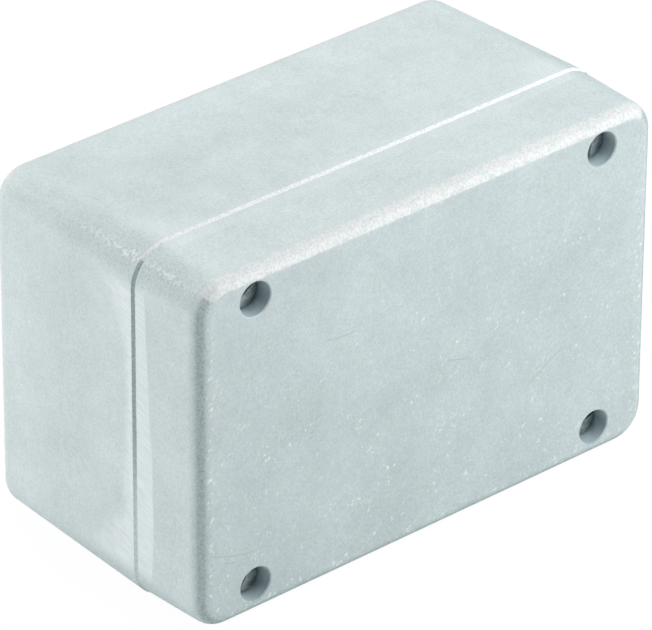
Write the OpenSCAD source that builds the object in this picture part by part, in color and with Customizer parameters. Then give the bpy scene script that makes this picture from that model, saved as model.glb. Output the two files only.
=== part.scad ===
// Sealed die cast aluminium box: a deep base and a shallower lid, drafted both
// ways from the joint between them, with four captive lid screws.
// The box stands on its long narrow side. X is its length, Y its depth with the
// lid towards -Y and the fixing face towards +Y, and Z its height.

/* [Outside] */
// Length of the box at the joint
body_w = 125; // [110:1:180]
// Height of the box at the joint
body_h = 83; // [74:1:120]
// Depth from the lid's face to the fixing face
body_d = 66; // [56:1:110]
// Depth of the lid
lid_d = 19; // [17:0.5:24]
// Radius of the four upright corners at the joint
corner_r = 8.5; // [7:0.5:11]
// Radius round the edge of the lid's face
lid_edge_r = 3.4; // [1.6:0.1:4]
// Radius round the edge of the fixing face
back_edge_r = 4; // [2:0.5:5]
// Draft of every outer side, in degrees
draft = 1.86; // [1:0.1:2.5]
// How far the lid's rim stands back from the base's rim
rim_step = 0.3; // [0.1:0.1:0.6]
// Chamfer along the base's rim
base_chamfer = 0.65; // [0.3:0.05:1.2]
// Chamfer along the lid's rim
lid_chamfer = 0.3; // [0.1:0.1:0.8]

/* [Walls] */
// Thickness of the base's side walls at the rim
base_wall = 3.6; // [3.2:0.1:4.5]
// Thickness of the fixing face
back_t = 3.2; // [2.5:0.1:5]
// Thickness of the lid's face
face_t = 3; // [2.5:0.1:5]
// Radius where an inner wall meets the floor
floor_r = 2; // [1:0.5:3]
// Width of the upright land on an inner wall before its draft begins
rim_land = 0.3; // [0.1:0.1:0.5]
// Radius of the hollow's inward corners
hollow_r = 3.5; // [2:0.5:4]
// Radius of the pillars' edges
pillar_r = 2.6; // [2:0.1:3]

/* [Seal] */
// Width of the tongue on the base's rim
tongue_w = 1.5; // [1:0.1:1.8]
// Height of the tongue
tongue_h = 1.4; // [1:0.1:2]
// Clearance on each side of the tongue in its groove
groove_gap = 0.2; // [0.1:0.05:0.3]
// Thickness of the gasket under the tongue
gasket_t = 1.6; // [1:0.1:2.5]
// Clearance on each side of the gasket in its groove
gasket_gap = 0.1; // [0.05:0.05:0.2]
// Thickness of the lid's lip inside the groove
lip_t = 1.2; // [1:0.1:2]
// Metal left between the groove and the nearest screw hole
seal_land = 1; // [0.8:0.1:2]

/* [Lid screws] */
// Distance of the lid screws from the ends of the box
screw_in_x = 15.75; // [14.5:0.25:20]
// Distance of the lid screws from the long sides of the box
screw_in_z = 8; // [7.5:0.25:11]
// Diameter of the counterbores in the lid's face
counterbore_d = 7.8; // [7.4:0.1:8.6]
// Deburred edge of the counterbores
counterbore_edge = 0.25; // [0.1:0.05:0.4]
// Depth of the screw heads below the lid's face
head_sunk = 3.7; // [3:0.1:7]
// Diameter of the screw heads
head_d = 7; // [6.4:0.1:7.2]
// Height of the screw heads
head_h = 2.6; // [2:0.1:3]
// Width of the screwdriver slot
slot_w = 1.2; // [0.8:0.1:1.6]
// Depth of the screwdriver slot
slot_depth = 1.1; // [0.8:0.1:1.4]
// Thread diameter of all the screws
thread_d = 4; // [3.5:0.1:4.2]
// Clearance round a thread in its tapped hole
thread_gap = 0.05; // [0.02:0.01:0.1]
// Diameter of the reduced shank above the thread
waist_d = 2.9; // [2.4:0.1:3]
// Diameter of the hole through the lid for a thread
clear_d = 4.5; // [4.4:0.1:5]
// Thickness of the web that the screw heads clamp
web_t = 2.4; // [2:0.1:3]
// How far a screw reaches into the base
engagement = 9; // [7:0.5:14]
// Length of the thread at the screw's tip
thread_len = 5; // [4:0.5:6]
// Spare depth of a tapped hole beyond its screw
tap_spare = 3; // [1:0.5:5]
// Outer diameter of the retaining rings
ring_d = 6.6; // [6:0.1:7]
// Thickness of the retaining rings
ring_t = 0.8; // [0.5:0.1:1.2]
// Clearance of a retaining ring on its shank and below its web
ring_gap = 0.1; // [0.05:0.05:0.3]

/* [Wall fixing] */
// Distance of the fixing holes from the ends of the box
fix_in_x = 7; // [6.5:0.25:9]
// Distance of the fixing holes from the long sides of the box
fix_in_z = 15.5; // [15:0.25:20]
// Diameter of the fixing holes through the back
fix_d = 4.6; // [4.2:0.1:5]
// Diameter of the wells for the fixing screws' heads
well_d = 7.4; // [7:0.1:8]
// Metal left under a fixing screw's head
well_floor = 6; // [4:0.5:12]
// Depth of the pocket in the lid above a well
well_pocket = 6; // [3:0.5:9]

/* [Inside] */
// Distance of the plate bosses from the ends of the box
plate_in_x = 17.5; // [16:0.5:24]
// Distance of the plate bosses from the long sides of the box
plate_in_z = 27.5; // [26:0.5:30]
// Diameter of the plate bosses
plate_boss_d = 8; // [7:0.1:9]
// Height of the plate bosses above the floor
plate_boss_h = 5; // [3:0.5:8]
// Distance of the earth boss from the end of the box
earth_in_x = 13; // [11:0.5:16]
// Diameter of the earth boss
earth_boss_d = 9; // [8:0.1:10]
// Height of the earth boss above the floor
earth_boss_h = 6; // [4:0.5:8]
// Metal left behind a blind hole in a boss
boss_skin = 2; // [1:0.1:2.4]
// Diameter of the earth screw's head
earth_head_d = 7; // [6.4:0.1:8]
// Outer diameter of the earth washer
earth_washer_d = 8; // [7:0.1:9]
// Thickness of the earth washer
earth_washer_t = 0.9; // [0.5:0.1:1.2]

/* [Hidden] */
$fn = 96;

cast_colour = [0.80, 0.84, 0.84];
steel_colour = [0.72, 0.73, 0.74];
brass_colour = [0.80, 0.66, 0.35];
rubber_colour = [0.13, 0.13, 0.14];
fibre_colour = [0.85, 0.83, 0.76];

slope = tan(draft);
base_d = body_d - lid_d;
joint_y = lid_d - body_d / 2;
mid_z = body_h / 2;
lid_w = body_w - 2 * rim_step;
lid_h = body_h - 2 * rim_step;
past = 1;              // how far a cut runs past the face it opens in

// The hollow is three overlapping rectangles, stepped round the screw pillars.
hollow_x = body_w / 2 - base_wall;
hollow_z = body_h / 2 - base_wall;
seal_w = tongue_w + groove_gap;
screw_x = body_w / 2 - screw_in_x;
screw_z = body_h / 2 - screw_in_z;
fix_x = body_w / 2 - fix_in_x;
fix_z = body_h / 2 - fix_in_z;
screw_clear = counterbore_d / 2 + seal_land + seal_w;
fix_clear = well_d / 2 + seal_land + seal_w;
step_x = [hollow_x, fix_x - fix_clear, screw_x - screw_clear];
step_z = [fix_z - fix_clear, screw_z - screw_clear, hollow_z];

groove_depth = tongue_h + gasket_t;
web_y = head_sunk + head_h;               // the web's clamped face, from the lid's face
pocket_d = lid_d - web_y - web_t;         // pocket under the web, open at the joint
under_head = web_t + pocket_d;            // height of a screw head's seat above the joint
head_edge = 0.3;                          // chamfer round the top of a screw's head
tip_chamfer = 0.5;                        // chamfer at a screw's tip
tap_d = thread_d + 2 * thread_gap;        // threads are plain, at their outer diameter
drill_point = 118 / 2;                    // half angle of a drilled hole's end
floor_z = base_d - back_t;                // depth of the base's floor below the joint
earth_x = earth_in_x - body_w / 2;
washer_gap = 0.15;                        // clearance of the earth washer on its screw
washer_teeth = 12;
tooth_depth = 0.9;                        // depth and width of the washer's notches
earth_spare = 0.6;                        // gap under the earth screw's tip
earth_len = earth_washer_t + earth_boss_h + back_t - boss_skin - earth_spare;
corners = [[-1, 1], [1, 1], [1, -1], [-1, -1]];   // 1 to 4, clockwise from the top left

// Places its children on the joint, their +Z running into the base.
module into_base() translate([0, joint_y, mid_z]) rotate([-90, 0, 0]) children();

// Places its children on the joint, their +Z running into the lid.
module into_lid() translate([0, joint_y, mid_z]) rotate([90, 0, 0]) children();

// Repeats its children at a four-hole pattern about the middle.
module at_pattern(x, z) for (c = corners) translate([c[0] * x, c[1] * z, 0]) children();

// ---- Flat outlines -------------------------------------------------------

module round_rect(w, h, r) {
    square([w - 2 * r, h], center = true);
    square([w, h - 2 * r], center = true);
    for (c = corners) translate([c[0] * (w / 2 - r), c[1] * (h / 2 - r)]) circle(r);
}

// The material that rounds an inward corner at the origin, in the first quadrant.
module corner_fill(r) difference() {
    square(r);
    translate([r, r]) circle(r);
}

// Outline of the hollow at the rim, offset outwards by grow.
module hollow_outline(grow = 0) {
    for (i = [0:2])
        round_rect(2 * (step_x[i] + grow), 2 * (step_z[i] + grow), hollow_r + grow);
    for (i = [0:1], sx = [0, 1], sz = [0, 1])
        mirror([sx, 0]) mirror([0, sz])
            translate([step_x[i + 1] + grow, step_z[i] + grow])
                corner_fill(pillar_r - grow);
}

// The band between two offsets of the hollow's outline.
module seal_band(inner, outer) difference() {
    hollow_outline(outer);
    hollow_outline(inner);
}

// Half section of a drafted block: r wide at the chamfer by the joint, drafted
// from there to a round edge at the far face. X runs out from the corner's axis.
module drafted_section(r, depth, edge_r, chamfer) {
    centre = [r - slope * (depth - edge_r - chamfer) - edge_r / cos(draft),
              depth - edge_r];
    rim = chamfer > 0 ? [[r - chamfer, 0], [r, chamfer]] : [[r, 0]];
    polygon(concat([[0, 0]], rim, [centre + edge_r * [cos(draft), sin(draft)],
                                   centre + [0, edge_r],
                                   [0, depth]]));
    translate(centre) intersection() {
        circle(edge_r);
        square(edge_r);
    }
}

// ---- Solid forms ---------------------------------------------------------

// Block with a drafted section swept round a rectangle with round corners.
module drafted_block(w, h, r, depth, edge_r, chamfer) {
    cx = w / 2 - r;
    cy = h / 2 - r;
    translate([-cx, -cy, 0]) cube([2 * cx, 2 * cy, depth]);
    for (turn = [0, 180]) rotate(turn)
        translate([cx, cy, 0]) rotate([90, 0, 0])
            linear_extrude(2 * cy) drafted_section(r, depth, edge_r, chamfer);
    for (turn = [90, 270]) rotate(turn)
        translate([cy, cx, 0]) rotate([90, 0, 0])
            linear_extrude(2 * cx) drafted_section(r, depth, edge_r, chamfer);
    for (turn = [0, 90, 180, 270])
        translate([cx * (turn == 0 || turn == 270 ? 1 : -1), cy * (turn < 180 ? 1 : -1), 0])
            rotate(turn) rotate_extrude(angle = 90)
                drafted_section(r, depth, edge_r, chamfer);
}

// A shell's hollow: upright at the rim where it follows the seal, drafted below.
module hollow(inset, depth) translate([0, 0, -past]) intersection() {
    linear_extrude(2 * past + depth) hollow_outline(-inset);
    drafted_block(body_w - 2 * (base_wall + inset - rim_land),
                  body_h - 2 * (base_wall + inset - rim_land),
                  corner_r - base_wall + rim_land, past + depth, floor_r, 0);
}

// Blind drilled hole, from a cut's start above its mouth down to its full depth.
module blind_hole(d, depth) translate([0, 0, -past]) {
    cylinder(d = d, h = past + depth);
    translate([0, 0, past + depth])
        cylinder(d1 = d, d2 = 0, h = d / 2 / tan(drill_point));
}

// Slotted cheese head, seated at the origin and rising along +Z.
module slotted_head(d, turn) difference() {
    union() {
        cylinder(d = d, h = head_h - head_edge);
        translate([0, 0, head_h - head_edge])
            cylinder(d1 = d, d2 = d - 2 * head_edge, h = head_edge);
    }
    translate([0, 0, head_h]) rotate(turn)
        cube([d + 2 * past, slot_w, 2 * slot_depth], center = true);
}

// Screw shank that hangs from the origin along -Z, reduced above its thread.
module shank(length, thread) {
    translate([0, 0, tip_chamfer - length])
        cylinder(d = thread_d, h = thread - tip_chamfer);
    translate([0, 0, -length])
        cylinder(d1 = thread_d - 2 * tip_chamfer, d2 = thread_d, h = tip_chamfer);
    if (thread < length)
        translate([0, 0, thread - length]) cylinder(d = waist_d, h = length - thread);
}

// ---- The pieces ----------------------------------------------------------

module base() color(cast_colour) into_base() difference() {
    union() {
        difference() {
            drafted_block(body_w, body_h, corner_r, base_d, back_edge_r, base_chamfer);
            hollow(0, floor_z);
        }
        translate([0, 0, -tongue_h])
            linear_extrude(tongue_h + base_chamfer) seal_band(0, tongue_w);
        at_pattern(body_w / 2 - plate_in_x, body_h / 2 - plate_in_z)
            translate([0, 0, floor_z - plate_boss_h])
                cylinder(d = plate_boss_d, h = plate_boss_h + back_t / 2);
        translate([earth_x, 0, floor_z - earth_boss_h])
            cylinder(d = earth_boss_d, h = earth_boss_h + back_t / 2);
    }
    at_pattern(screw_x, screw_z) blind_hole(tap_d, engagement + tap_spare);
    at_pattern(fix_x, fix_z) {
        translate([0, 0, -past]) cylinder(d = well_d, h = past + base_d - well_floor);
        cylinder(d = fix_d, h = base_d + past);
    }
    at_pattern(body_w / 2 - plate_in_x, body_h / 2 - plate_in_z)
        translate([0, 0, floor_z - plate_boss_h - past])
            cylinder(d = tap_d, h = past + plate_boss_h + back_t - boss_skin);
    translate([earth_x, 0, floor_z - earth_boss_h - past])
        cylinder(d = tap_d, h = past + earth_boss_h + back_t - boss_skin);
}

module lid() color(cast_colour) into_lid() difference() {
    drafted_block(lid_w, lid_h, corner_r - rim_step, lid_d, lid_edge_r, lid_chamfer);
    hollow(groove_gap + lip_t, lid_d - face_t);
    translate([0, 0, -past])
        linear_extrude(past + groove_depth) seal_band(-groove_gap, seal_w);
    at_pattern(screw_x, screw_z) {
        translate([0, 0, -past]) cylinder(d = counterbore_d, h = past + pocket_d);
        cylinder(d = clear_d, h = lid_d);
        translate([0, 0, under_head]) cylinder(d = counterbore_d, h = web_y + past);
        translate([0, 0, lid_d - counterbore_edge])
            cylinder(d1 = counterbore_d, d2 = counterbore_d + 2 * (counterbore_edge + past),
                     h = counterbore_edge + past);
    }
    at_pattern(fix_x, fix_z)
        translate([0, 0, -past]) cylinder(d = well_d, h = past + well_pocket);
}

module gasket() color(rubber_colour) into_lid()
    translate([0, 0, tongue_h])
        linear_extrude(gasket_t)
            seal_band(gasket_gap - groove_gap, seal_w - gasket_gap);

// A lid screw, its head seated on the web and its slot left at its own angle.
module lid_screw(number, turn) color(steel_colour) into_lid()
    translate([corners[number - 1][0] * screw_x, corners[number - 1][1] * screw_z,
               under_head]) {
        slotted_head(head_d, turn);
        shank(under_head + engagement, thread_len);
    }

// A ring on a lid screw's reduced shank, which keeps the screw in the lid.
module retaining_ring(number) color(fibre_colour) into_lid()
    translate([corners[number - 1][0] * screw_x, corners[number - 1][1] * screw_z,
               pocket_d - ring_gap - ring_t])
        difference() {
            cylinder(d = ring_d, h = ring_t);
            translate([0, 0, -past])
                cylinder(d = waist_d + 2 * ring_gap, h = ring_t + 2 * past);
        }

// The earth screw in its boss, hanging head up from the washer's outer face.
module earth_screw() color(brass_colour) into_base()
    translate([earth_x, 0, floor_z - earth_boss_h - earth_washer_t])
        mirror([0, 0, 1]) {
            slotted_head(earth_head_d, 0);
            shank(earth_len, earth_len);
        }

// Toothed washer that bites the boss under the earth screw's head.
module earth_washer() color(steel_colour) into_base()
    translate([earth_x, 0, floor_z - earth_boss_h - earth_washer_t])
        difference() {
            cylinder(d = earth_washer_d, h = earth_washer_t);
            translate([0, 0, -past])
                cylinder(d = thread_d + 2 * washer_gap, h = earth_washer_t + 2 * past);
            for (i = [1:washer_teeth]) rotate(i * 360 / washer_teeth)
                translate([earth_washer_d / 2 - tooth_depth, -tooth_depth / 2, -past])
                    cube([tooth_depth + past, tooth_depth, earth_washer_t + 2 * past]);
        }

base();
lid();
gasket();
lid_screw(1, 35);  // lid_screw_1
lid_screw(2, 80);  // lid_screw_2
lid_screw(3, 15);  // lid_screw_3
lid_screw(4, 60);  // lid_screw_4
retaining_ring(1);  // retaining_ring_1
retaining_ring(2);  // retaining_ring_2
retaining_ring(3);  // retaining_ring_3
retaining_ring(4);  // retaining_ring_4
earth_screw();
earth_washer();
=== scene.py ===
"""The looks of a sealed die cast aluminium box: bare castings, steel screws, a rubber seal."""
import math

import bmesh
import bpy
from mathutils import Matrix, Vector


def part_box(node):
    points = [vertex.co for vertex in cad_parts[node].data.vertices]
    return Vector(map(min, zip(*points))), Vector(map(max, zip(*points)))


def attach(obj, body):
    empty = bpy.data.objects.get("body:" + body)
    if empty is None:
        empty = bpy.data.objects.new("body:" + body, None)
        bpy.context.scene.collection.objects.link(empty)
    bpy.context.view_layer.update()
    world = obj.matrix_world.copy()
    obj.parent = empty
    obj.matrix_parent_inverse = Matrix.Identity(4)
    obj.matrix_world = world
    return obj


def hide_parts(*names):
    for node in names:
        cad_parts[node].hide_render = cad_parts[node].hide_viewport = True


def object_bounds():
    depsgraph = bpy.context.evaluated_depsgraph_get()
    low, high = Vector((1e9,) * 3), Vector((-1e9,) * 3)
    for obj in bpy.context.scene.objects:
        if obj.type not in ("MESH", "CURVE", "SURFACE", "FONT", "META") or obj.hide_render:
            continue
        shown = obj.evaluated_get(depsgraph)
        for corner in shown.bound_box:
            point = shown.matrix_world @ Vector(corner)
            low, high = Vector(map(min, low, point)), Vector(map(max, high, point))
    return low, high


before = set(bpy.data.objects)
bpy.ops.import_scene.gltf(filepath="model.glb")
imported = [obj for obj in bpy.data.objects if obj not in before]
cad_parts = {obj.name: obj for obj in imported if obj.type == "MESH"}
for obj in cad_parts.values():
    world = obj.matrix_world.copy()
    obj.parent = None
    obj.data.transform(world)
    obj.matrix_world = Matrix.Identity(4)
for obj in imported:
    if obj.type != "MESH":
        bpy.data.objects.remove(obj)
cad_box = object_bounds()

MM = 0.001
LOW, HIGH = Vector(cad_box[0]), Vector(cad_box[1])
MIDDLE = (LOW + HIGH) / 2
SIZE = HIGH - LOW

JOINT_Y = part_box("lid")[1][1]           # the plane where the two shells meet
FIRST_SCREW = [Vector(v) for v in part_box("lid_screw_2")]
SCREW_OUT = Vector(((FIRST_SCREW[0].x + FIRST_SCREW[1].x) / 2 - MIDDLE.x,
                    (FIRST_SCREW[0].z + FIRST_SCREW[1].z) / 2 - MIDDLE.z))


def add_object(name, data):
    """A new object in the scene, with the given mesh, lamp or camera."""
    piece = bpy.data.objects.new(name, data)
    bpy.context.collection.objects.link(piece)
    return piece


# ---- Camera --------------------------------------------------------------

CAMERA_AZIMUTH = math.radians(-41.08)
CAMERA_ELEVATION = math.radians(30.67)
CAMERA_ROLL = math.radians(0.33)
CAMERA_DISTANCE = 1.3249
CAMERA_LENS = 352.68
CAMERA_REACH = (0.01, 20)
AIM_RIGHT = 0.33 * MM                   # where the camera aims, from the box's middle
AIM_DOWN = 2.52 * MM


def make_camera():
    """The camera, which sees the box from above its left front corner."""
    flat = math.cos(CAMERA_ELEVATION)
    back = Vector((math.sin(CAMERA_AZIMUTH) * flat,
                   -math.cos(CAMERA_AZIMUTH) * flat,
                   math.sin(CAMERA_ELEVATION)))
    level = Vector((0, 0, 1)).cross(back).normalized()
    rise = back.cross(level)
    right = math.cos(CAMERA_ROLL) * level + math.sin(CAMERA_ROLL) * rise
    up = back.cross(right)
    aim = MIDDLE + AIM_RIGHT * right - AIM_DOWN * up
    data = bpy.data.cameras.new("camera")
    data.lens = CAMERA_LENS
    data.clip_start, data.clip_end = CAMERA_REACH
    camera = add_object("camera", data)
    turn = Matrix((right, up, back)).transposed().to_4x4()
    camera.matrix_world = Matrix.Translation(aim + back * CAMERA_DISTANCE) @ turn
    bpy.context.scene.camera = camera


# ---- Light ---------------------------------------------------------------

# Soft lamps: name, azimuth and elevation in degrees, distance, width, height, power, colour.
LAMPS = (("right_box", 32, 40, 0.64, 0.4, 0.6, 3.6, (0.985, 1, 1)),
         ("left_box", -120, 10, 1.2, 1.0, 1.0, 13.6, (1, 0.985, 0.985)),
         ("back_box", 160, 55, 1.2, 0.8, 0.8, 5.2, (1, 0.95, 0.95)))
WHITE = (1, 1, 1, 1)
WORLD_COLOUR = (0.93, 0.98, 1.0, 1)     # the faint light that fills the shadows
WORLD_STRENGTH = 0.06
FLOOR_HALF = 3.0
FLOOR_COLOUR = (0.85, 0.86, 0.86, 1)
FLOOR_GLOW = 1.04                       # how strongly the seen floor shines white
FLOOR_GLOW_SHARE = 0.92                 # the rest of it takes the box's shadow


def make_lamp(name, azimuth, elevation, distance, width, height, power, colour):
    """A soft lamp that shines on the box from the given side."""
    a, e = math.radians(azimuth), math.radians(elevation)
    out = Vector((math.sin(a) * math.cos(e), -math.cos(a) * math.cos(e), math.sin(e)))
    data = bpy.data.lights.new(name, "AREA")
    data.shape = "RECTANGLE"
    data.size = width
    data.size_y = height
    data.energy = power
    data.color = colour
    lamp = add_object(name, data)
    lamp.location = MIDDLE + out * distance
    lamp.rotation_euler = out.to_track_quat("Z", "Y").to_euler()


def glowing(tree, kind, colour, strength):
    """A background or emission node."""
    node = tree.nodes.new(kind)
    node.inputs["Color"].default_value = colour
    node.inputs["Strength"].default_value = strength
    return node


def seen_mix(tree, share, plain, seen, output):
    """Plain for the light, and seen, by its share, for rays that see the background.

    Those are the camera's, glossy and transmission rays.
    """
    path = tree.nodes.new("ShaderNodeLightPath")
    total = None
    for name in ("Is Camera Ray", "Is Glossy Ray", "Is Transmission Ray"):
        if total is None:
            total = path.outputs[name]
            continue
        most = tree.nodes.new("ShaderNodeMath")
        most.operation = "MAXIMUM"
        tree.links.new(total, most.inputs[0])
        tree.links.new(path.outputs[name], most.inputs[1])
        total = most.outputs[0]
    part = tree.nodes.new("ShaderNodeMath")
    part.operation = "MULTIPLY"
    part.inputs[1].default_value = share
    tree.links.new(total, part.inputs[0])
    mix = tree.nodes.new("ShaderNodeMixShader")
    tree.links.new(part.outputs[0], mix.inputs[0])
    tree.links.new(plain.outputs[0], mix.inputs[1])
    tree.links.new(seen.outputs[0], mix.inputs[2])
    tree.links.new(mix.outputs[0], tree.nodes.new(output).inputs[0])


def make_world():
    world = bpy.data.worlds.new("studio")
    bpy.context.scene.world = world
    world.use_nodes = True
    tree = world.node_tree
    tree.nodes.clear()
    fill = glowing(tree, "ShaderNodeBackground", WORLD_COLOUR, WORLD_STRENGTH)
    white = glowing(tree, "ShaderNodeBackground", WHITE, 1.0)
    seen_mix(tree, 1.0, fill, white, "ShaderNodeOutputWorld")


def make_floor():
    half = FLOOR_HALF
    mesh = bpy.data.meshes.new("floor")
    mesh.from_pydata([(-half, -half, LOW.z), (half, -half, LOW.z),
                      (half, half, LOW.z), (-half, half, LOW.z)], [], [(0, 1, 2, 3)])
    floor = add_object("floor", mesh)
    material = bpy.data.materials.new("floor_white")
    material.use_nodes = True
    tree = material.node_tree
    tree.nodes.clear()
    matt = tree.nodes.new("ShaderNodeBsdfDiffuse")
    matt.inputs["Color"].default_value = FLOOR_COLOUR
    glow = glowing(tree, "ShaderNodeEmission", WHITE, FLOOR_GLOW)
    seen_mix(tree, FLOOR_GLOW_SHARE, matt, glow, "ShaderNodeOutputMaterial")
    mesh.materials.append(material)


# ---- Materials -----------------------------------------------------------

class Graph:
    """A material's nodes, made and joined by short calls."""

    def __init__(self, name):
        self.material = bpy.data.materials.new(name)
        self.material.use_nodes = True
        self.tree = self.material.node_tree
        self.shader = self.tree.nodes["Principled BSDF"]
        self.coordinates = self.tree.nodes.new("ShaderNodeTexCoord")
        self.place = self.coordinates.outputs["Object"]

    def node(self, kind, inputs=None, **settings):
        node = self.tree.nodes.new(kind)
        for key, value in settings.items():
            setattr(node, key, value)
        for key, value in (inputs or {}).items():
            self.put(value, node.inputs[key])
        return node

    def put(self, value, socket):
        if isinstance(value, bpy.types.NodeSocket):
            self.tree.links.new(value, socket)
        else:
            socket.default_value = value

    def math(self, operation, a, b=0.0):
        return self.node("ShaderNodeMath", {0: a, 1: b}, operation=operation).outputs[0]

    def add(self, *values):
        total = values[0]
        for value in values[1:]:
            total = self.math("ADD", total, value)
        return total

    def times(self, *values):
        total = values[0]
        for value in values[1:]:
            total = self.math("MULTIPLY", total, value)
        return total

    def less(self, a, b):
        return self.math("SUBTRACT", a, b)

    def most(self, a, b):
        return self.math("MAXIMUM", a, b)

    def least(self, a, b):
        return self.math("MINIMUM", a, b)

    def size(self, value):
        return self.math("ABSOLUTE", value)

    def apart(self, value, centre):
        """How far a value lies from a centre, either way."""
        return self.size(self.less(value, centre))

    def length(self, a, b):
        return self.math("SQRT", self.add(self.times(a, a), self.times(b, b)))

    def vector(self, x, y, z):
        return self.node("ShaderNodeCombineXYZ", {0: x, 1: y, 2: z}).outputs[0]

    def axes(self, vector):
        return self.node("ShaderNodeSeparateXYZ", {0: vector}).outputs[:3]

    def noise(self, scale, detail, rough, place=None):
        node = self.node("ShaderNodeTexNoise", {"Vector": place or self.place, "Scale": scale,
                                                "Detail": detail, "Roughness": rough})
        return node.outputs["Fac"]

    def ramp(self, value, low, high, out_low=0.0, out_high=1.0):
        """Eases from out_low to out_high as value goes from low to high, or down to it."""
        node = self.node("ShaderNodeMapRange", {0: value, 1: low, 2: high, 3: out_low,
                                                4: out_high}, interpolation_type="SMOOTHSTEP")
        return node.outputs[0]

    def mix(self, share, a, b):
        node = self.node("ShaderNodeMix", {0: share, 6: a, 7: b}, data_type="RGBA")
        return node.outputs[2]

    def bump(self, height, strength, distance, before=None):
        node = self.node("ShaderNodeBump", {"Strength": strength, "Distance": distance,
                                            "Height": height})
        if before:
            self.put(before, node.inputs["Normal"])
        return node.outputs[0]

    def shine(self, colour, rough, metallic, normal):
        """Joins what was made to the shader."""
        for name, value in (("Base Color", colour), ("Roughness", rough),
                            ("Normal", normal)):
            self.put(value, self.shader.inputs[name])
        self.shader.inputs["Metallic"].default_value = metallic


CAST_TONE = 0.70                        # the castings' mean brightness
CAST_RED, CAST_BLUE = 0.885, 1.01       # red and blue, as shares of green
SKIN_AND_SHADE_RED = 0.84                         # red in the rough skin and the edges' painted shade, which are cooler
BAND_RED = 0.91                         # and in the linished band
CAST_ROUGH = 0.63
CAST_METAL = 0.08
CAST_SPECULAR = 0.08

# Scales of the castings' noise, per metre.
CLOUD_SCALE = 30                        # large soft patches
PATCH_SCALE = 110
CLUSTER_SCALE = 150                     # where nicks gather
MOTTLE_SCALE = 420
NICK_SCALE = 1050
GRAIN_SCALE = 1900                      # the grain of the cast skin
LINE_SCALE = 2600                       # the linished lines
BORE_RING_SCALE = 3800

# Where the castings are marked. A pair is a range over which a mark comes or goes.
TOP_SPLIT = (-0.5 * MM, 0.5 * MM)       # from the line between the top and the ends
OUTSIDE = (2.7 * MM, 3.2 * MM)          # in from an outer side: how deep its marks reach
CORNER_SKIN = (5 * MM, 8.5 * MM)        # in from both sides of a round corner
CORNER_CREST = (2.6 * MM, 3.8 * MM)
CREST_WANDER = 3 * MM
CORNER_NEAR = (30 * MM, 3 * MM)         # from the joint: corners are roughest beside it
EDGE_STRIP = (5 * MM, 4 * MM)           # in from an outer side: the face's rounded edge
JOINT_EDGE = (1.5 * MM, 2 * MM)         # from the joint
JOINT_LIT = (-30 * MM, 6 * MM)         # up from the middle: beside the joint, the lower edges take the painted highlight and the upper ones the painted shade
JOINT_HIGHLIGHT = (-40 * MM, 55 * MM)       # across: the painted highlight on the joint's edge is brighter at one end
PALE_BACK = (22 * MM, 42 * MM)          # from the joint
BAND_CORNER = (7 * MM, 24 * MM)         # in from a corner: the band is wide, then narrow
BAND_START = (6.5 * MM, 10 * MM)
BAND_TOP = (8 * MM, 24 * MM)
BAND_UP = (-25 * MM, 30 * MM)
LINE_SLANT = 0.30
LINE_STRETCH = 0.07
BORDER = (6.5 * MM, 4 * MM)             # in from an outer side: nicks along the edges
NICKS_UP = (5 * MM, 32 * MM)            # up from the middle: fewer nicks above
NICK_SLANT = 0.6
NICK_STRETCH = 0.62
SCRATCH_LINE = (0.06 * MM, 0.22 * MM)   # from a scratch's middle line
BORE_WALL = (3.95 * MM, 4.05 * MM)      # from a screw's axis, round the counterbore
BORE_DEPTH = (0.5 * MM, 4.5 * MM)       # from the lid's face: over it the bores darken, a painted shade
# The bores' painted shade: their colour at the mouth, and deep in.
BORE_SHADE_MOUTH = (0.52, 0.63, 0.66, 1)
BORE_SHADE_DEEP = (0.33, 0.40, 0.43, 1)

# How squarely a surface faces along the box's depth: 0 on a side and 1 on the face.
SIDE_WAY = (0.15, 0.4)
EDGE_WAY = ((0.42, 0.7), (0.98, 0.84))
# The next two place the edges' painted highlight.
HIGHLIGHT_EDGE_WAY = ((0.12, 0.6), (0.999, 0.98))
HIGHLIGHT_WAY = (0.65, 0.95)
FACE_WAY = (0.9, 0.97)
FLAT_WAY = (0.97, 0.99)

# The lid's scratches: (centre, radius, where the middle lies across, half its width), in
# millimetres from the middle of the face.
SCRATCHES = [((-42.8, 9.9), 35.5, -52.9, 7), ((-43.5, 8.5), 35.5, -53.5, 2),
             ((60, -60), 55, 32, 7), ((-20, 60), 44, -24, 5), ((30, 70), 75, 8, 4)]


def tint(level, red=CAST_RED):
    """The castings' cool grey at a level of brightness, less cool where red is higher."""
    return (red * level, level, CAST_BLUE * level, 1)


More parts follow.
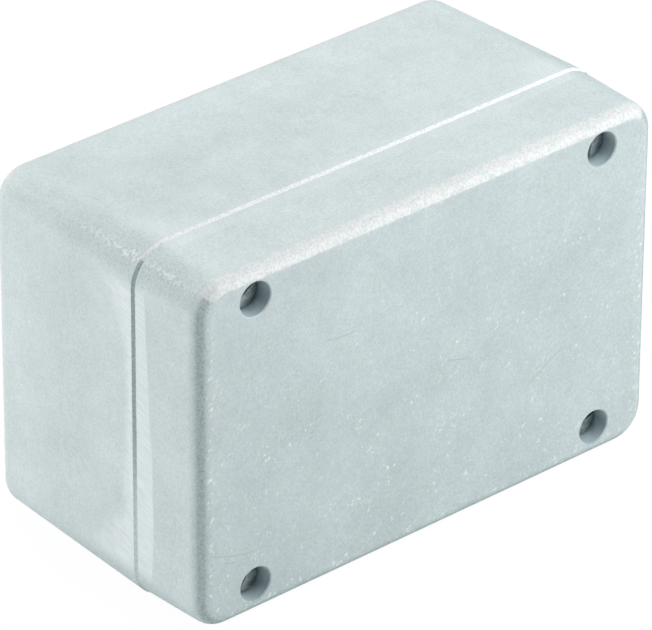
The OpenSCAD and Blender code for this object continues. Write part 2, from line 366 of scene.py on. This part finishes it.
class Casting(Graph):
    """A casting's nodes, with where each point lies and the masks of its marks.

    Places are measured from the box's own faces and edges and from the joint.
    """

    def __init__(self, name):
        super().__init__(name)
        x, self.y, z = self.axes(self.place)
        self.along = self.add(x, z)
        self.across = self.less(x, MIDDLE.x)
        self.up = self.less(z, MIDDLE.z)
        from_end = self.less(SIZE.x / 2, self.size(self.across))
        from_side = self.less(SIZE.z / 2, self.size(self.up))
        self.inward = self.least(from_end, from_side)
        self.from_corner = self.most(from_end, from_side)
        self.from_joint = self.apart(self.y, JOINT_Y)
        self.facing = self.size(self.axes(self.coordinates.outputs["Normal"])[1])
        self.outer = self.ramp(self.inward, *OUTSIDE, 1, 0)
        self.upright = self.ramp(self.facing, *SIDE_WAY, 1, 0)
        self.top = self.times(self.ramp(self.less(from_end, from_side), *TOP_SPLIT),
                              self.math("GREATER_THAN", self.up, 0.0))
        self.cloud = self.noise(CLOUD_SCALE, 2, 0.5)
        self.mottle = self.noise(MOTTLE_SCALE, 2, 0.5)
        self.grain = self.noise(GRAIN_SCALE, 2, 0.6)

    def swing(self, field, size):
        """A field of noise turned into a swing of the given size, either way."""
        return self.times(size, self.less(field, 0.5))

    def corners(self):
        """Masks: a round corner's rough skin, how near the joint, its line of rubbed grains."""
        skin = self.times(self.ramp(self.from_corner, *CORNER_SKIN, 1, 0), self.outer,
                          self.upright)
        near = self.ramp(self.from_joint, *CORNER_NEAR, 0.15, 1)
        place = self.add(self.from_corner, self.swing(self.mottle, CREST_WANDER))
        crest = self.times(self.ramp(place, *CORNER_CREST, 1, 0), self.outer, self.upright)
        return skin, near, self.times(crest, self.ramp(self.grain, 0.44, 0.6), near)

    def edges(self):
        """Masks: the rounded edges, those by the joint, the lit ones, and their painted
        highlight.

        The edges take a painted highlight along the top and a painted shade on their rough skin
        elsewhere, though beside the joint only on the upper half.
        """
        strip = self.ramp(self.inward, *EDGE_STRIP)
        edge = self.times(self.ramp(self.facing, *EDGE_WAY[0]),
                          self.ramp(self.facing, *EDGE_WAY[1]), strip)
        by_joint = self.ramp(self.from_joint, *JOINT_EDGE, 1, 0)
        # Where the edges take a painted highlight instead of painted shade: on top, and on the
        # lower half beside the joint.
        lit_edges = self.most(self.top, self.times(by_joint, self.ramp(self.up, *JOINT_LIT, 1, 0)))
        solid = self.most(self.ramp(self.mottle, 0.3, 0.55, 0.65, 0.95),
                          self.times(by_joint, 0.95))
        # The edges' painted highlight, in patches.
        edge_highlight = self.times(self.ramp(self.facing, *HIGHLIGHT_EDGE_WAY[0]),
                           self.ramp(self.facing, *HIGHLIGHT_EDGE_WAY[1]), strip, lit_edges, solid)
        return edge, by_joint, lit_edges, edge_highlight

    def linished_band(self, linished, wide, fade):
        """Masks: the band across the joint, wider by the corners, and its slanting lines."""
        width = self.ramp(self.from_corner, *BAND_CORNER, wide, linished)
        width = self.times(width, self.add(0.65, self.times(0.7, self.cloud)),
                           self.ramp(self.up, *BAND_UP, 1.15, 0.75))
        share = self.add(self.math("DIVIDE", self.from_joint, width),
                         self.swing(self.mottle, fade))
        on_top = self.times(self.top, self.from_corner)
        band = self.times(self.ramp(share, 1 - fade, 1, 1, 0), self.outer, self.upright,
                          self.ramp(self.from_corner, *BAND_START),
                          self.ramp(on_top, *BAND_TOP, 1, 0.35),
                          self.ramp(self.top, 0, 1, 1, 0.55))
        slant = self.less(self.along, self.times(self.y, LINE_SLANT))
        run = self.times(self.add(self.y, self.times(LINE_SLANT, self.along)), LINE_STRETCH)
        return band, self.noise(LINE_SCALE, 2, 0.6, self.vector(slant, run, 0.0))

    def nicks(self):
        """Mask of tiny bright nicks, in loose clusters and along the face's edges."""
        face = self.ramp(self.facing, *FACE_WAY)
        border = self.times(self.ramp(self.inward, *BORDER), face,
                            self.ramp(self.top, 0, 1, 1, 0.3))
        cluster = self.times(self.ramp(self.noise(CLUSTER_SCALE, 2, 0.5), 0.42, 0.6),
                             self.ramp(self.up, *NICKS_UP, 1, 0.25))
        strokes = self.vector(
            self.add(self.across, self.times(self.up, -NICK_SLANT)),
            self.times(self.add(self.up, self.times(self.across, NICK_SLANT)), NICK_STRETCH),
            self.y)
        level = self.add(self.noise(NICK_SCALE, 3, 0.62, strokes), self.times(border, 0.04))
        return self.times(self.ramp(level, 0.60, 0.71), self.most(cluster, border),
                          self.add(0.3, self.times(0.7, face)))

    def scratch(self, centre, radius, middle, reach):
        """Mask of a faint arc on the face: part of a circle, within reach of its middle."""
        ring = self.apart(self.length(self.less(self.across, centre[0] * MM),
                                      self.less(self.up, centre[1] * MM)), radius * MM)
        near = self.ramp(self.apart(self.across, middle * MM), 0.6 * reach * MM,
                         reach * MM, 1, 0)
        return self.times(self.ramp(ring, *SCRATCH_LINE, 1, 0), near)

    def bores(self):
        """Mask of the turned bores round the four screw axes, their rings, and their colour:
        painted shade, darker deeper in.
        """
        from_axis = self.length(self.apart(self.size(self.across), SCREW_OUT.x),
                                self.apart(self.size(self.up), SCREW_OUT.y))
        turned = self.times(self.ramp(from_axis, *BORE_WALL, 1, 0), self.upright)
        rings = self.noise(BORE_RING_SCALE, 1, 0.5, self.vector(0.0, self.y, 0.0))
        depth = self.add(self.ramp(self.less(self.y, LOW.y), *BORE_DEPTH),
                         self.swing(self.mottle, 1.2))
        return turned, rings, self.mix(depth, BORE_SHADE_MOUTH, BORE_SHADE_DEEP)


def casting(name, linished, wide, fade, scratches=()):
    """Bare die cast aluminium, its flat sides linished beside the joint.

    linished is the width of that band, wide its width close to a corner, and fade the
    share of it that fades out.
    """
    g = Casting(name)
    corner, near, rubbed = g.corners()
    edge, by_joint, lit_edges, edge_highlight = g.edges()
    band, lines = g.linished_band(linished, wide, fade)
    turned, rings, bore_shade = g.bores()

    # The bare skin: mottled in its tone, paler towards the back, and paler on top as painted
    # light.
    tone = g.add(0.5, g.ramp(g.from_joint, *PALE_BACK, 0, 0.2), g.times(0.05, g.top),
                 g.swing(g.cloud, 0.5), g.swing(g.noise(PATCH_SCALE, 3, 0.55), 0.5),
                 g.swing(g.mottle, 0.3), g.swing(g.grain, 1.1))
    colour = g.mix(tone, tint(CAST_TONE * 0.82), tint(CAST_TONE * 1.18))
    # The round corners' rough skin is darker; the rounded edges that are not lit carry a
    # painted shade.
    skin_and_edge_shade = g.most(g.times(corner, near, 0.32),
                        g.times(edge, g.ramp(lit_edges, 0, 1, 0.95, 0)))
    colour = g.mix(skin_and_edge_shade, colour, g.mix(g.ramp(g.grain, 0.35, 0.6),
                                             tint(CAST_TONE * 0.70, SKIN_AND_SHADE_RED),
                                             tint(CAST_TONE * 0.90, SKIN_AND_SHADE_RED)))

    # A painted highlight on the upper edges and the joint's edge; the band beside the joint,
    # rubbed grains and nicks are worn bright.
    highlight_level = g.most(g.ramp(g.facing, *HIGHLIGHT_WAY, 1.16, 1.34),
                    g.times(by_joint, g.ramp(g.across, *JOINT_HIGHLIGHT, 1.26, 1.38)))
    highlight_level = g.times(CAST_TONE, highlight_level, g.ramp(g.grain, 0.38, 0.58, 0.88, 1.02))
    red = g.times(highlight_level, g.ramp(g.top, 0, 1, 0.9, 0.985))
    colour = g.mix(edge_highlight, colour, g.vector(red, highlight_level, highlight_level))
    colour = g.mix(g.times(band, 0.95), colour,
                   g.mix(g.ramp(lines, 0.38, 0.62), tint(CAST_TONE * 1.12, BAND_RED),
                         tint(CAST_TONE * 1.25, BAND_RED)))
    colour = g.mix(g.most(g.times(rubbed, 0.6), g.times(g.nicks(), 0.9)), colour,
                   tint(0.97, 0.95))
    if scratches:
        marks = 0.0
        for scratch in scratches:
            marks = g.most(marks, g.scratch(*scratch))
        marks = g.times(marks, g.ramp(g.facing, *FLAT_WAY), g.ramp(g.grain, 0.35, 0.5))
        colour = g.mix(g.times(marks, 0.5), colour, tint(0.46))
    # The bores' painted shade, darker deeper in.
    colour = g.mix(g.times(turned, 0.9), colour, bore_shade)

    rough = g.ramp(tone, 0.3, 0.7, CAST_ROUGH + 0.04, CAST_ROUGH - 0.04)
    rough = g.add(rough, g.times(corner, 0.2), g.times(edge, 0.04), g.times(band, -0.05),
                  g.times(turned, -0.08))

    smooth = g.less(1.0, g.most(band, turned))
    height = g.bump(g.cloud, 0.15, 0.5 * MM)
    height = g.bump(g.times(g.mottle, smooth), 0.2, 0.06 * MM, height)
    skin = g.times(g.grain, g.add(g.times(smooth, 0.6), g.times(corner, 1.2), edge))
    height = g.bump(skin, 0.5, 0.06 * MM, height)
    height = g.bump(g.times(lines, band), 0.3, 0.03 * MM, height)
    height = g.bump(g.times(rings, turned), 0.4, 0.03 * MM, height)
    g.shine(colour, rough, CAST_METAL, height)
    g.shader.inputs["Specular IOR Level"].default_value = CAST_SPECULAR
    return g.material


PLAIN_DARK = 0.8                        # the darkest of a plain finish's grain
PLAIN_ROUGH = 0.06                      # how far its roughness varies, either way


def plain(name, colour, metallic, rough, grain_scale, grain_height):
    """A small part's finish: one colour with a fine grain in its tone, gloss and surface."""
    g = Graph(name)
    grain = g.noise(grain_scale, 3, 0.6)
    dark = tuple(PLAIN_DARK * c for c in colour)
    g.shine(g.mix(g.ramp(grain, 0.3, 0.7), dark + (1,), colour + (1,)),
            g.ramp(grain, 0.3, 0.7, rough - PLAIN_ROUGH, rough + PLAIN_ROUGH), metallic,
            g.bump(grain, 0.3, grain_height))
    return g.material


STEEL_DARK = (0.34, 0.38, 0.39, 1)
STEEL_LIGHT = (0.58, 0.63, 0.64, 1)
STEEL_RING_SCALE = 3600
STEEL_HAZE_SCALE = 800


def plated_steel():
    """Zinc plated screws: turned rings round the axis, the plating a little uneven."""
    g = Graph("plated_steel")
    x, y, z = g.axes(g.place)
    rings = g.noise(STEEL_RING_SCALE, 2, 0.6,
                    g.vector(g.length(x, y), 0.0, g.times(z, 0.2)))
    haze = g.noise(STEEL_HAZE_SCALE, 3, 0.65)
    g.shine(g.mix(g.ramp(haze, 0.38, 0.62), STEEL_DARK, STEEL_LIGHT),
            g.ramp(haze, 0.3, 0.7, 0.5, 0.36), 1.0,
            g.bump(haze, 0.4, 0.04 * MM, g.bump(rings, 0.35, 0.02 * MM)))
    return g.material


def dress(node, material):
    """Gives a CAD node its finish."""
    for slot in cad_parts[node].material_slots:
        slot.material = material


# ---- Screws --------------------------------------------------------------

PITCH = 0.7 * MM
THREAD_R = 2.0 * MM
ROOT_R = 1.6 * MM
CREST_SHARE = 0.125                     # the flat shares of the pitch at crest and root
ROOT_SHARE = 0.25
THREAD_LENGTH = 5 * MM
TIP_CHAMFER = 0.5 * MM
RUN_OUT = 0.3 * MM                      # from the thread's end down to the waist
WAIST_R = 1.45 * MM
NECK = (0.2 * MM, 0.15 * MM)            # length and reach of the cone under the head
HEAD_HEIGHT = 2.6 * MM
HEAD_EDGE = 0.3 * MM
HEAD_EDGE_STEP = 0.3                    # where that edge bends, as a share of it
HEAD_UNDER_EDGE = 0.1 * MM
HEAD_LIFT = 0.02 * MM                   # keeps a head's underside clear of its seat
HEAD_CENTRE = 0.5                       # share of the head's radius, a ring on its top
SLOT_WIDTH = 1.2 * MM
SLOT_DEPTH = 1.1 * MM
SLOT_FLOOR_EDGE = 0.1 * MM              # the floor's chamfers: their height, and
SLOT_FLOOR_FLAT = 0.8                   # the share of its width that stays flat
SLOT_TURNS = (35, 80, 15, 60)           # the slots' angles, from +X towards +Z
ROWS_PER_PITCH = 14
SEGMENTS = 48
SOFT_EDGE = 0.06 * MM
SOFT_FROM = math.radians(70)            # edges sharper than this are softened
SHARP_FROM = math.radians(38)           # and those sharper than this shade as sharp


def thread_radius(height, turn):
    """Radius of the thread at a height above the tip, turn going from 0 to 1 round it."""
    phase = abs((height / PITCH - turn) % 1.0 - 0.5) * 2
    flank = min(max((1 - ROOT_SHARE - phase) / (1 - ROOT_SHARE - CREST_SHARE), 0), 1)
    return min(ROOT_R + (THREAD_R - ROOT_R) * flank, THREAD_R - TIP_CHAMFER + height)


def screw_rows(length, head_r):
    """(height, radius at each turn) from the tip to the top of the head."""
    count = round(THREAD_LENGTH / PITCH * ROWS_PER_PITCH)
    for i in range(count + 1):
        height = THREAD_LENGTH * i / count
        yield height, lambda turn, height=height: thread_radius(height, turn)
    seat = length - HEAD_HEIGHT + HEAD_LIFT
    step = HEAD_EDGE_STEP * HEAD_EDGE
    for height, radius in ((THREAD_LENGTH + RUN_OUT, WAIST_R), (seat - NECK[0], WAIST_R),
                           (seat, WAIST_R + NECK[1]), (seat, head_r - HEAD_UNDER_EDGE),
                           (seat + HEAD_UNDER_EDGE, head_r), (length - HEAD_EDGE, head_r),
                           (length - step, head_r - step), (length, head_r - HEAD_EDGE),
                           (length, HEAD_CENTRE * head_r)):
        yield height, lambda turn, radius=radius: radius


def finished(mesh, name):
    """The mesh data made of what bmesh has built."""
    data = bpy.data.meshes.new(name)
    mesh.to_mesh(data)
    mesh.free()
    return data


def turned_mesh(name, rows):
    """A closed mesh of rings of vertices, its ends filled."""
    mesh = bmesh.new()
    rings = []
    for height, radius_at in rows:
        ring = []
        for i in range(SEGMENTS):
            turn = i / SEGMENTS
            r, a = radius_at(turn), 2 * math.pi * turn
            ring.append(mesh.verts.new((r * math.cos(a), r * math.sin(a), height)))
        rings.append(ring)
    for low, high in zip(rings, rings[1:]):
        for i in range(SEGMENTS):
            j = (i + 1) % SEGMENTS
            mesh.faces.new((low[i], low[j], high[j], high[i]))
    mesh.faces.new(reversed(rings[0]))
    mesh.faces.new(rings[-1])
    return finished(mesh, name)


def slot_cutter(length, reach):
    """The block that a head's slot is cut with, its floor a little rounded."""
    mesh = bmesh.new()
    low, high = length - SLOT_DEPTH, length + SLOT_DEPTH
    half, flat, edge = SLOT_WIDTH / 2, SLOT_FLOOR_FLAT * SLOT_WIDTH / 2, low + SLOT_FLOOR_EDGE
    outline = [(-half, high), (-half, edge), (-flat, low), (flat, low), (half, edge),
               (half, high)]
    ends = [[mesh.verts.new((side * reach, across, height)) for across, height in outline]
            for side in (-1, 1)]
    for i in range(len(outline)):
        j = (i + 1) % len(outline)
        mesh.faces.new((ends[0][i], ends[0][j], ends[1][j], ends[1][i]))
    mesh.faces.new(reversed(ends[0]))
    mesh.faces.new(ends[1])
    bmesh.ops.recalc_face_normals(mesh, faces=mesh.faces)
    return add_object("slot_cutter", finished(mesh, "slot_cutter"))


def cut_slot(screw, length, reach):
    """Cuts the slot into a screw's head and softens its edges, in the mesh itself."""
    cutter = slot_cutter(length, reach)
    cut = screw.modifiers.new("slot", "BOOLEAN")
    cut.operation = "DIFFERENCE"
    cut.object = cutter
    soften = screw.modifiers.new("soften", "BEVEL")
    soften.width = SOFT_EDGE
    soften.segments = 2
    soften.limit_method = "ANGLE"
    soften.angle_limit = SOFT_FROM
    graph = bpy.context.evaluated_depsgraph_get()
    mesh = bpy.data.meshes.new_from_object(screw.evaluated_get(graph))
    screw.modifiers.clear()
    bpy.data.objects.remove(cutter)
    screw.data = mesh
    mesh.shade_smooth()
    mesh.set_sharp_from_angle(angle=SHARP_FROM)


def make_screw(number, slot_turn, material):
    """A slotted cheese head screw with a real thread, in place of the plain CAD screw."""
    node = "lid_screw_%d" % number
    low, high = (Vector(v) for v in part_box(node))
    length = high.y - low.y
    head_r = (high.x - low.x) / 2
    screw = add_object(node + "_threaded", turned_mesh(node, screw_rows(length, head_r)))
    cut_slot(screw, length, 2 * head_r)
    screw.data.materials.clear()
    screw.data.materials.append(material)
    a = math.radians(slot_turn)
    along_slot = Vector((math.cos(a), 0, math.sin(a)))
    out = Vector((0, -1, 0))
    turn = Matrix((along_slot, out.cross(along_slot), out)).transposed().to_4x4()
    tip = Vector(((low.x + high.x) / 2, high.y, (low.z + high.z) / 2))
    screw.matrix_world = Matrix.Translation(tip) @ turn
    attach(screw, "screw_%d" % number)
    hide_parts(node)


make_camera()
make_world()
make_floor()
for lamp in LAMPS:
    make_lamp(*lamp)

steel = plated_steel()
rubber = plain("seal_rubber", (0.02, 0.02, 0.022), metallic=0.0, rough=0.6,
               grain_scale=1500, grain_height=0.03 * MM)
fibre = plain("ring_fibre", (0.70, 0.66, 0.55), metallic=0.0, rough=0.6,
              grain_scale=1200, grain_height=0.03 * MM)
brass = plain("earth_brass", (0.78, 0.60, 0.28), metallic=1.0, rough=0.3,
              grain_scale=900, grain_height=0.02 * MM)

dress("base", casting("cast_base", linished=4.5 * MM, wide=18 * MM, fade=0.75))
dress("lid", casting("cast_lid", linished=4.8 * MM, wide=4.0 * MM, fade=0.12,
                     scratches=SCRATCHES))
for number, slot_turn in enumerate(SLOT_TURNS, 1):
    make_screw(number, slot_turn, steel)
    dress("retaining_ring_%d" % number, fibre)
dress("gasket", rubber)
dress("earth_screw", brass)
dress("earth_washer", steel)

bpy.context.scene.view_settings.view_transform = "Standard"
